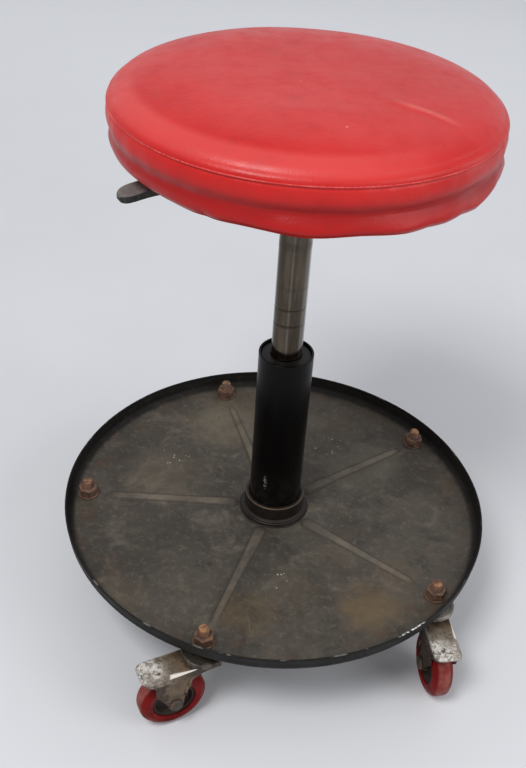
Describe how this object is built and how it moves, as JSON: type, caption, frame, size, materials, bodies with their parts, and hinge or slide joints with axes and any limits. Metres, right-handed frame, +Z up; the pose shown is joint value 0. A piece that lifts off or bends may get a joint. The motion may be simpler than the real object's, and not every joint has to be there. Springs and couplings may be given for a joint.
{
  "type": "rolling work stool",
  "caption": "Round padded seat on a gas lift over a pressed round tool tray with swivel casters and a release lever under the seat.",
  "frame": {"origin": "on the floor under the column's axis, which is also the middle of the box's bottom face", "axes": "+Z up the column, +X to the right and +Y away from the viewer as the picture is taken"},
  "size_m": [0.412, 0.4307, 0.5273],
  "materials": {
    "red_vinyl": "satin",
    "plywood": "matte",
    "black_paint": "matte",
    "worn_black_paint": "matte",
    "gloss_black": "gloss",
    "bright_steel": "satin",
    "zinc": "satin",
    "rusty_steel": "matte",
    "red_tyre": "satin",
    "dark_plastic": "matte",
    "black_plastic": "satin",
    "black_rubber": "matte"
  },
  "bodies": {
    "base": {"tray": "black_paint", "hub_socket": "worn_black_paint", "column_tube": "gloss_black", "guide_bush": "black_plastic", "thrust_bearing": "bright_steel", "caster_stem_1": "zinc", "caster_washer_1": "rusty_steel", "caster_nut_1": "rusty_steel", "caster_stem_2": "zinc", "caster_washer_2": "rusty_steel", "caster_nut_2": "rusty_steel", "caster_stem_3": "zinc", "caster_washer_3": "rusty_steel", "caster_nut_3": "rusty_steel", "caster_stem_4": "zinc", "caster_washer_4": "rusty_steel", "caster_nut_4": "rusty_steel", "caster_stem_5": "zinc", "caster_washer_5": "rusty_steel", "caster_nut_5": "rusty_steel"},
    "spindle": {"piston_rod": "bright_steel", "retaining_clip": "bright_steel", "bumper": "black_rubber"},
    "seat": {"pressure_tube": "bright_steel", "seat_bracket": "black_paint", "seat_board": "plywood", "seat_cushion": "red_vinyl", "lever_pivot": "bright_steel", "bracket_screw_1": "zinc", "bracket_screw_2": "zinc", "bracket_screw_3": "zinc", "bracket_screw_4": "zinc"},
    "lever": {"lever_arm": "zinc", "lever_paddle": "black_plastic"},
    "release_pin": {"release_pin": "bright_steel"},
    "swivel_1": {"caster_fork_1": "zinc", "caster_axle_1": "zinc", "caster_balls_1": "bright_steel"},
    "wheel_1": {"wheel_core_1": "dark_plastic", "wheel_tyre_1": "red_tyre"},
    "swivel_2": {"caster_fork_2": "zinc", "caster_axle_2": "zinc", "caster_balls_2": "bright_steel"},
    "wheel_2": {"wheel_core_2": "dark_plastic", "wheel_tyre_2": "red_tyre"},
    "swivel_3": {"caster_fork_3": "zinc", "caster_axle_3": "zinc", "caster_balls_3": "bright_steel"},
    "wheel_3": {"wheel_core_3": "dark_plastic", "wheel_tyre_3": "red_tyre"},
    "swivel_4": {"caster_fork_4": "zinc", "caster_axle_4": "zinc", "caster_balls_4": "bright_steel"},
    "wheel_4": {"wheel_core_4": "dark_plastic", "wheel_tyre_4": "red_tyre"},
    "swivel_5": {"caster_fork_5": "zinc", "caster_axle_5": "zinc", "caster_balls_5": "bright_steel"},
    "wheel_5": {"wheel_core_5": "dark_plastic", "wheel_tyre_5": "red_tyre"}
  },
  "joints": [
    {"name": "seat_turn", "type": "hinge", "parent": "base", "child": "spindle", "pos_m": [0, 0, 0.055], "axis": [0, 0, 1], "continuous": true},
    {"name": "seat_height", "type": "slide", "parent": "spindle", "child": "seat", "axis": [0, 0, 1], "range_m": [-0.13, 0]},
    {"name": "lever_pull", "type": "hinge", "parent": "seat", "child": "lever", "pos_m": [-0.02992, -0.02003, 0.45475], "axis": [-0.5563, 0.831, 0], "range_deg": [0, 3.5], "stiffness_Nm_per_rad": 1.5, "springref_deg": -2.86},
    {"name": "pin_press", "type": "slide", "parent": "seat", "child": "release_pin", "axis": [0, 0, -1], "range_m": [0, 0.0025]},
    {"name": "caster_swivel_1", "type": "hinge", "parent": "base", "child": "swivel_1", "pos_m": [0.146, 0.11572, 0.074], "axis": [0, 0, 1], "continuous": true},
    {"name": "wheel_roll_1", "type": "hinge", "parent": "swivel_1", "child": "wheel_1", "pos_m": [0.11646, 0.12093, 0.031], "axis": [-0.1736, -0.9848, 0], "continuous": true},
    {"name": "caster_swivel_2", "type": "hinge", "parent": "base", "child": "swivel_2", "pos_m": [-0.06494, 0.17462, 0.074], "axis": [0, 0, 1], "continuous": true},
    {"name": "wheel_roll_2", "type": "hinge", "parent": "swivel_2", "child": "wheel_2", "pos_m": [-0.09092, 0.18962, 0.031], "axis": [-0.5, -0.866, 0], "continuous": true},
    {"name": "caster_swivel_3", "type": "hinge", "parent": "base", "child": "swivel_3", "pos_m": [-0.18614, -0.0078, 0.074], "axis": [0, 0, 1], "continuous": true},
    {"name": "wheel_roll_3", "type": "hinge", "parent": "swivel_3", "child": "wheel_3", "pos_m": [-0.17114, 0.01818, 0.031], "axis": [-0.866, 0.5, 0], "continuous": true},
    {"name": "caster_swivel_4", "type": "hinge", "parent": "base", "child": "swivel_4", "pos_m": [-0.0501, -0.17944, 0.074], "axis": [0, 0, 1], "continuous": true},
    {"name": "wheel_roll_4", "type": "hinge", "parent": "swivel_4", "child": "wheel_4", "pos_m": [-0.07634, -0.19398, 0.031], "axis": [0.4848, -0.8746, 0], "continuous": true},
    {"name": "caster_swivel_5", "type": "hinge", "parent": "base", "child": "swivel_5", "pos_m": [0.15517, -0.1031, 0.074], "axis": [0, 0, 1], "continuous": true},
    {"name": "wheel_roll_5", "type": "hinge", "parent": "swivel_5", "child": "wheel_5", "pos_m": [0.16141, -0.13244, 0.031], "axis": [0.9781, 0.2079, 0], "continuous": true}
  ],
  "couplings": [
    {"joint": "pin_press", "follows": "lever_pull", "m_per_rad": 0.036}
  ]
}
